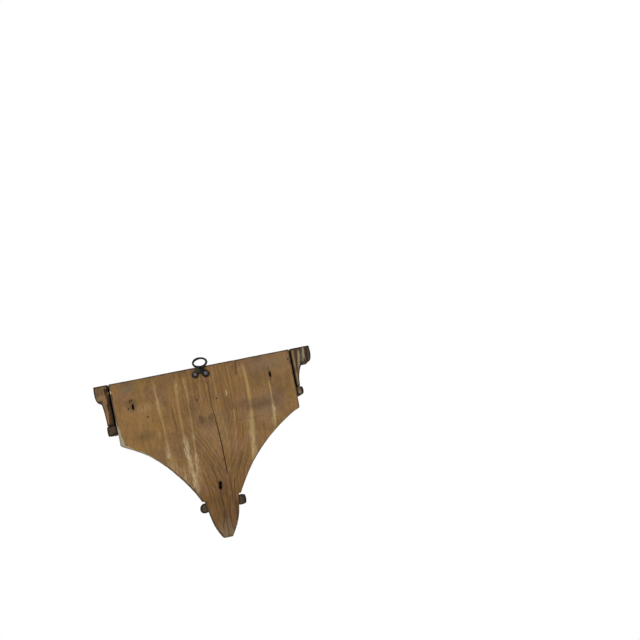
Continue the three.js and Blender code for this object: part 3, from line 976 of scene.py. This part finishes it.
def bare_wood(f, g):
    """The unstained back: its browns, its grain and its broad patches of colour."""
    heart, rest = g.near_heart, 1 - g.near_heart
    dirt = f.noise((0.75, 0.75, 0.55), 1.0, 0.5)
    lines = f.noise((0.52, 0.52, 0.014), 2.0, 0.6)
    mottle = f.noise((0.34, 0.34, 0.24), 3.0, 0.6)
    patchy = f.smooth(0.30, 0.62, g.cloud * 0.5 + g.blotch * 0.5) * 0.5 + 0.5
    upright = f.smooth(112, 64, f.drop) * heart * 0.30 + rest * 0.10 + 0.05
    faded = f.most(f.spot(f.x, (-108, 12), (34, 13), 0.8), f.spot(f.x, (-92, 78), (30, 22), 0.7))
    golden = f.spot(f.x, (108, 74), (38, 38), 0.7) * f.smooth(0.35, 0.6, g.fibre)
    paler = f.spot(f.x, (-3, 102), (26, 34), 0.6)
    flecks = f.smooth(0.66, 0.74, g.speck) * f.smooth(0.40, 0.58, g.cloud)
    neck = f.smooth(160, 212, f.drop) * f.smooth(275, 240, f.drop)
    return f.layers(
        f.mix(f.smooth(0.30, 0.70, g.fibre), tone(124, 90, 46), tone(146, 110, 60)),
        (f.smooth(0.48, 0.64, g.rosy) * 0.60, (148, 110, 80)),
        (f.smooth(0.48, 0.62, g.olive) * 0.60, (124, 98, 50)),
        (f.smooth(0.44, 0.64, g.cloud) * 0.50, (106, 80, 54)),
        (f.smooth(0.52, 0.68, g.blotch) * 0.42, (164, 122, 70)),
        (f.smooth(0.46, 0.32, g.blotch) * 0.42, (92, 68, 40)),
        (g.rings * (heart * 0.48 + 0.07) * patchy, (74, 44, 22)),
        (f.smooth(0.55, 0.35, g.hair) * (heart * 0.20 + 0.14), (80, 54, 32)),
        (f.smooth(0.54, 0.66, g.hair) * (heart * 0.20 + 0.12), (176, 136, 88)),
        (f.smooth(0.50, 0.34, lines) * upright, (86, 60, 36)),
        (f.smooth(0.54, 0.68, lines) * upright, (172, 134, 86)),
        (f.smooth(0.54, 0.68, mottle) * rest * 0.26, (166, 132, 88)),
        (f.smooth(0.46, 0.32, mottle) * rest * 0.26, (92, 68, 44)),
        (faded * 0.36, (124, 103, 86)),
        (paler * 0.22, (168, 136, 96)),
        (flecks * 0.60, (62, 44, 28)),
        (f.smooth(0.64, 0.73, dirt) * 0.45, (74, 54, 34)),
        (golden * 0.34, (168, 124, 66)),
        (neck * 0.42, (82, 48, 6)),
    )


def lines_and_streaks(f, g, wood):
    """Adds the dark lines, the greyed bands, the pale streaks and their chalky stretches."""
    wood = f.streaks(wood, f.x + g.uneven * 1.6 + (g.olive - 0.5) * 3, DARK_LINES, (64, 38, 18))
    wood = f.streaks(wood, f.x + g.uneven * 5, GREY_BANDS, (144, 126, 88))
    fibrous = (f.smooth(0.20, 0.60, g.fibre) * 0.5 + 0.5) * 0.75
    wood = f.streaks(wood, f.x + g.uneven * 2.4, PALE_STREAKS, (174, 141, 86), fibrous)
    smear = f.noise((0.42, 0.42, 0.10), 3.0, 0.5)
    chalky = f.smooth(0.40, 0.60, smear) * f.smooth(0.28, 0.52, g.fibre)
    return f.spots(wood, f.x + g.uneven * 3, CHALK, 0.8, (192, 170, 134), chalky)


def marks_and_stains(f, g, wood):
    """Adds the knot, pin holes, stains with a painted shadow band, the scratch, the grey tip, painted
    shadows round the hanger's eyes and painted shade along the edges.
    """
    knot = f.spot(f.x, (7, 83), (17, 11), 0.6) * f.smooth(0.55, 0.66, g.speck)
    wood = f.mix(knot * 0.75, wood, tone(58, 40, 26))
    holes = [(hole[:2], hole[2:], 0.9) for hole in PIN_HOLES]
    wood = f.spots(wood, f.x, holes, 0.35, (30, 20, 13))
    # STAINS holds a painted shadow band as well as the stains
    wood = f.spots(wood, f.x + g.uneven * 8, STAINS, 0.5, (66, 50, 36))
    mildew = f.spot(f.x + g.uneven * 6, (114.5, 11.6), (11, 6.5), 0.8)
    mildew = mildew * f.smooth(0.30, 0.58, g.speck * 0.5 + g.blotch * 0.5)
    scratch = f.streak(f.drop - 2.2 + f.x * 0.07, f.x, (84, -92), (89.5, -26), 0, 0.6)
    tip = f.smooth(230, 258, f.drop) * f.smooth(0.36, 0.56, g.fibre) * f.smooth(16, 6, abs(f.x - 5))
    # Painted shadows on the wood round the hanger's two eyes
    shadow_round_eyes = f.most(f.spot(f.x, (7.4, 11.2), (5.2, 5.4), 0.35),
                        f.spot(f.x, (-9.0, 12.2), (5.8, 5.8), 0.35))
    # Painted shade: a dark line along every edge of the back, where it turns away
    rim = f.smooth(3.0, 0.9, f.mark("edge") + g.uneven * 3)
    notch = f.spot(f.x, (141.4, 12.8), (1.3, 2.4))
    # Painted shade: a dark line along the top edge of the back
    shade_at_top_edge = f.smooth(2.2, 0.6, f.drop)
    return f.layers(
        wood,
        (mildew * 0.70, (92, 90, 74)),
        (scratch * 0.45, (74, 54, 38)),
        (tip * 0.56, (126, 110, 92)),
        (f.smooth(226, 262, f.drop) * g.rings * 0.35, (62, 48, 38)),
        (shadow_round_eyes * 0.85, (34, 26, 19)),
        (rim * 0.85, (50, 35, 24)),
        (notch * 0.8, (196, 176, 146)),
        (shade_at_top_edge * 0.6, (52, 38, 28)),
    )


def stained_wood(f, g):
    """The dark stain on the body's front, sides, top and underside."""
    return f.layers(
        f.mix(f.smooth(0.32, 0.68, g.fibre), tone(58, 42, 31), tone(92, 70, 52)),
        (f.smooth(0.48, 0.76, g.cloud) * 0.45, (110, 90, 68)),
        (f.smooth(0.50, 0.34, g.rosy) * 0.40, (44, 32, 24)),
        (f.smooth(0.55, 0.75, g.blotch) * f.smooth(0.35, 0.65, g.fibre) * 0.22, (126, 112, 88)),
        (g.rings * 0.25, (48, 34, 25)),
    )


def aged_pine():
    """The body: bare at the back, stained elsewhere, with bruised edges, and grime with painted shade in
    its crack and holes.
    """
    f = Finish("aged_pine", Specular_IOR_Level=0.22)
    g = PineGrain(f)
    bare = marks_and_stains(f, g, lines_and_streaks(f, g, bare_wood(f, g)))
    at_back = f.smooth(-2.4, -0.9, f.y)
    bruised = f.smooth(54, 70, f.drop) * f.smooth(152, 120, f.drop) * f.smooth(60, 85, f.x)
    rubbed = f.smooth(0.30, 0.75, f.mark("worn") + g.uneven * 0.9) * f.smooth(0.22, 0.50, g.fibre)
    # Grime and painted shade: darker in the crack, in the nail holes and round them
    grime_and_shade = f.clip(f.mark("grime_and_shade"))
    colour = f.layers(
        f.mix(at_back, stained_wood(f, g), bare),
        (rubbed * (bruised * 0.85 + 0.10), (158, 153, 128)),
        (f.clip(grime_and_shade * 1.1), (30, 19, 12)),
    )
    rough = 0.66 + (g.fibre - 0.5) * 0.25 + g.rings * 0.05 + grime_and_shade * 0.15
    height = g.fibre * 0.5 + g.hair * 0.25 - g.rings * 0.35 + g.blotch * 0.3
    return f.surface(colour, rough, height, 0.55, 0.5 * MM)


def sawn_ends(f, pore, blotch):
    """The mouldings' end grain at the back: browner at the right, streaked at the left, with painted shade
    round its edges.
    """
    cross = f.noise((0.9, 0.05, 0.05), 4.0, 0.6)
    right_end = f.smooth(-20, 20, f.x)
    sawn = f.mix(right_end, tone(58, 43, 31), tone(106, 80, 52))
    sawn_pale = f.mix(right_end, tone(104, 86, 64), tone(150, 122, 88))
    tan = f.smooth(-148.8, -147.6, f.x) * f.smooth(-144.0, -144.8, f.x)
    brown = f.streak(f.x, f.drop, (-153.0, -8), (-148.8, 66), 0, 2.8)
    grain = f.layers(
        f.mix(f.smooth(0.35, 0.65, cross), sawn, sawn_pale),
        (f.smooth(0.48, 0.66, pore) * 0.5, (66, 50, 36)),
        (f.smooth(0.54, 0.66, blotch) * right_end * 0.5, (150, 118, 84)),
        (tan * 0.85, (146, 118, 76)),
        (brown * 0.85, (70, 43, 28)),
    )
    ragged = f.x + (pore - 0.5) * 2
    for top, foot, width, strength, shade in END_STREAKS:
        grain = f.mix(f.streak(ragged, f.drop, top, foot, 0, width) * strength, grain, tone(*shade))
    edge = f.mark("edge")
    underside = f.smooth(21.0, 24.5, f.drop) * f.smooth(29, 27, f.drop) * f.smooth(154, 158, abs(f.x))
    bead_end = f.smooth(60.5, 63, f.drop)
    crusty = bead_end * f.smooth(0.50, 0.60, pore) * f.smooth(1.4, 3.4, edge)
    bead_heart = f.spot(f.x, (-147.2, 68.4), (2.0, 3.6))
    # Painted shade: a dark outline round the edges of the sawn ends
    rim = f.smooth(2.7, 1.1, edge + (pore - 0.5) * 1.5)
    return f.layers(
        grain,
        (underside * 0.85, (30, 22, 15)),
        (bead_end * 0.88, (42, 31, 19)),
        (crusty * 0.55, (128, 116, 88)),
        (bead_heart * 0.42, (160, 146, 116)),
        (rim * 0.88, (30, 21, 14)),
    )


def stained_moulding():
    """The mouldings and beads: dark stain on their faces, end grain and some rust at the back."""
    f = Finish("stained_moulding", Specular_IOR_Level=0.14)
    run = f.noise((0.05, 0.05, 0.9), 4.0, 0.6)
    pore = f.noise((0.8, 0.8, 0.8), 3.0, 0.65)
    blotch = f.noise((0.07, 0.07, 0.07), 4.0, 0.6)
    thin = f.noise((0.022, 0.022, 0.16), 4.0, 0.62)
    coat = f.layers(
        f.mix(f.smooth(0.3, 0.7, run), tone(54, 39, 29), tone(86, 66, 49)),
        (f.smooth(0.46, 0.66, thin) * 0.5, (106, 86, 64)),
        (f.smooth(0.58, 0.72, thin) * f.smooth(0.42, 0.6, pore) * 0.40, (134, 126, 102)),
        (f.smooth(0.50, 0.36, blotch) * 0.35, (38, 28, 21)),
    )
    at_back = f.smooth(-7.5, -0.9, f.y)
    rubbed = f.smooth(0.4, 0.8, f.mark("worn") + (blotch - 0.5) * 0.5) * (1 - at_back)
    # Grime and painted shade: random dirt, and painted shade in the right crown's broken hollow
    grime_and_shade = f.clip(f.mark("grime_and_shade"))
    colour = f.layers(
        f.mix(at_back, coat, sawn_ends(f, pore, blotch)),
        (rubbed * f.smooth(0.40, 0.60, pore) * 0.48, (142, 128, 102)),
        (grime_and_shade * 0.85, (52, 34, 20)),
    )
    rust = [(place, size, 0.85) for place, size in RUST]
    pitted = f.smooth(0.40, 0.56, pore) * at_back
    colour = f.spots(colour, f.x + (blotch - 0.5) * 4, rust, 0.6, (146, 92, 34), pitted)
    chip = f.spot(f.x, (145.4, 13.0), (1.2, 1.8), 0.4) * at_back
    colour = f.mix(chip * 0.9, colour, tone(190, 178, 150))
    rough = 0.62 + (pore - 0.5) * 0.3 + grime_and_shade * 0.15
    height = run * 0.3 + pore * 0.5 + blotch * 0.4
    return f.surface(colour, rough, height, 0.5, 0.5 * MM)


def old_iron(name, dull, rubbed):
    """Black iron with olive grime on the straps, rubbed lighter and with a painted highlight on what
    stands out farthest.
    """
    f = Finish(name, Metallic=0.55, Specular_IOR_Level=0.35)
    fine = f.noise((1.6, 1.6, 1.6), 4.0, 0.65)
    broad = f.noise((0.28, 0.28, 0.28))
    rust = f.smooth(0.55, 0.72, broad)
    on_straps = f.smooth(0.5, 2.5, f.drop) * f.smooth(9.5, 7.0, f.drop) * f.smooth(-1.5, 1.0, f.x)
    # Painted highlight on the domes' tops, which are also rubbed: lighter on what stands out farthest
    worn_and_lit_top = f.smooth(DOME_SEAT + 1.7, DOME_SEAT + DOME_HEIGHT + 0.4, f.y + (fine - 0.5) * 0.8)
    colour = f.layers(
        f.mix(f.smooth(0.3, 0.7, fine), tone(*dull), tone(*(c * 0.6 for c in dull))),
        (on_straps * f.smooth(0.35, 0.6, fine) * 0.7, (92, 86, 66)),
        (worn_and_lit_top * f.smooth(6, 8, f.drop) * 0.9, rubbed),
        (rust * 0.4, (60, 44, 32)),
    )
    rough = 0.55 + (fine - 0.5) * 0.4 + rust * 0.2
    return f.surface(colour, rough, fine, 0.4, 0.3 * MM)


def paint(obj, material):
    """Gives the object that finish and no other."""
    obj.data.materials.clear()
    obj.data.materials.append(material)


# Room: an even white surround and four large soft lights, in metres and watts

WHITE = (1, 1, 1, 1)
SURROUND_LIGHT = 0.55
LAMP_AIM = Vector((0, 0, -0.08))
LAMPS = (
    ("key_back", (1.1, 1.9, 1.5), 1.4, 34),
    ("fill_back", (-1.6, 1.8, 0.1), 1.6, 14),
    ("key_front", (-1.2, -1.9, 1.5), 1.4, 34),
    ("fill_front", (1.6, -1.8, 0.1), 1.6, 14),
)


def make_room():
    """White where the camera sees it, and dimmer than that where it lights the bracket."""
    world = bpy.data.worlds.new("studio")
    bpy.context.scene.world = world
    world.use_nodes = True
    tree = world.node_tree
    tree.nodes.clear()
    path = add_node(tree, "ShaderNodeLightPath")
    lit = add_node(tree, "ShaderNodeBackground", inputs={"Color": WHITE, "Strength": SURROUND_LIGHT})
    seen = add_node(tree, "ShaderNodeBackground", inputs={"Color": WHITE, "Strength": 1.0})
    pick = add_node(tree, "ShaderNodeMixShader", inputs={
        0: path.outputs["Is Camera Ray"], 1: lit.outputs[0], 2: seen.outputs[0]})
    add_node(tree, "ShaderNodeOutputWorld", inputs={"Surface": pick.outputs[0]})
    for name, place, size, power in LAMPS:
        light = bpy.data.lights.new(name, "AREA")
        light.size = size
        light.energy = power
        lamp = bpy.data.objects.new(name, light)
        lamp.location = place
        lamp.rotation_euler = (LAMP_AIM - Vector(place)).to_track_quat("-Z", "Y").to_euler()
        bpy.context.scene.collection.objects.link(lamp)


# Camera: far behind the bracket, square to its back, rolled and aimed as the photograph is

PHOTO_SIZE = 640
PHOTO_ROLL = math.radians(11.19)
SHELF_PIXEL = (198.5, 367.1)
MM_PER_PIXEL = 1.55
CAMERA_DISTANCE = 4.6
SENSOR_WIDTH = 36.0
AIM_DROP = 132.0


def make_camera():
    """Puts the middle of the shelf's back edge at SHELF_PIXEL, at MM_PER_PIXEL."""
    half_view = PHOTO_SIZE / 2 * MM_PER_PIXEL * MM / CAMERA_DISTANCE
    right = Vector((-math.cos(PHOTO_ROLL), 0, -math.sin(PHOTO_ROLL)))
    up = Vector((-math.sin(PHOTO_ROLL), 0, math.cos(PHOTO_ROLL)))
    middle = Vector((0, 0, (SHELF - AIM_DROP) * MM))
    down_page = AIM_DROP / MM_PER_PIXEL
    seen_x = SHELF_PIXEL[0] + math.sin(PHOTO_ROLL) * down_page
    seen_y = SHELF_PIXEL[1] + math.cos(PHOTO_ROLL) * down_page
    aside = (PHOTO_SIZE / 2 - seen_x) * MM_PER_PIXEL * MM
    above = (seen_y - PHOTO_SIZE / 2) * MM_PER_PIXEL * MM
    place = middle + Vector((0, CAMERA_DISTANCE, 0))
    away = (place - (middle + right * aside + up * above)).normalized()
    side = up.cross(away).normalized()
    data = bpy.data.cameras.new("view")
    data.sensor_width = SENSOR_WIDTH
    data.lens = SENSOR_WIDTH / 2 / half_view
    camera = bpy.data.objects.new("view", data)
    camera.location = place
    camera.rotation_mode = "QUATERNION"
    camera.rotation_quaternion = Matrix((side, away.cross(side), away)).transposed().to_quaternion()
    bpy.context.scene.collection.objects.link(camera)
    bpy.context.scene.camera = camera


make_camera()
pine = aged_pine()
moulding = stained_moulding()
paint(make_body(), pine)
for strip in make_mouldings():
    paint(strip, moulding)
# Each iron's last colour is its rubbed and painted-highlight colour
paint(make_hanger(), old_iron("black_iron", (34, 34, 31), (74, 72, 62)))
for side, seed in (("right", 71), ("left", 73)):
    paint(make_nail(side, seed), old_iron(f"nail_iron_{side}", (22, 22, 23), (104, 104, 107)))
make_room()
bpy.context.scene.view_settings.view_transform = "Standard"
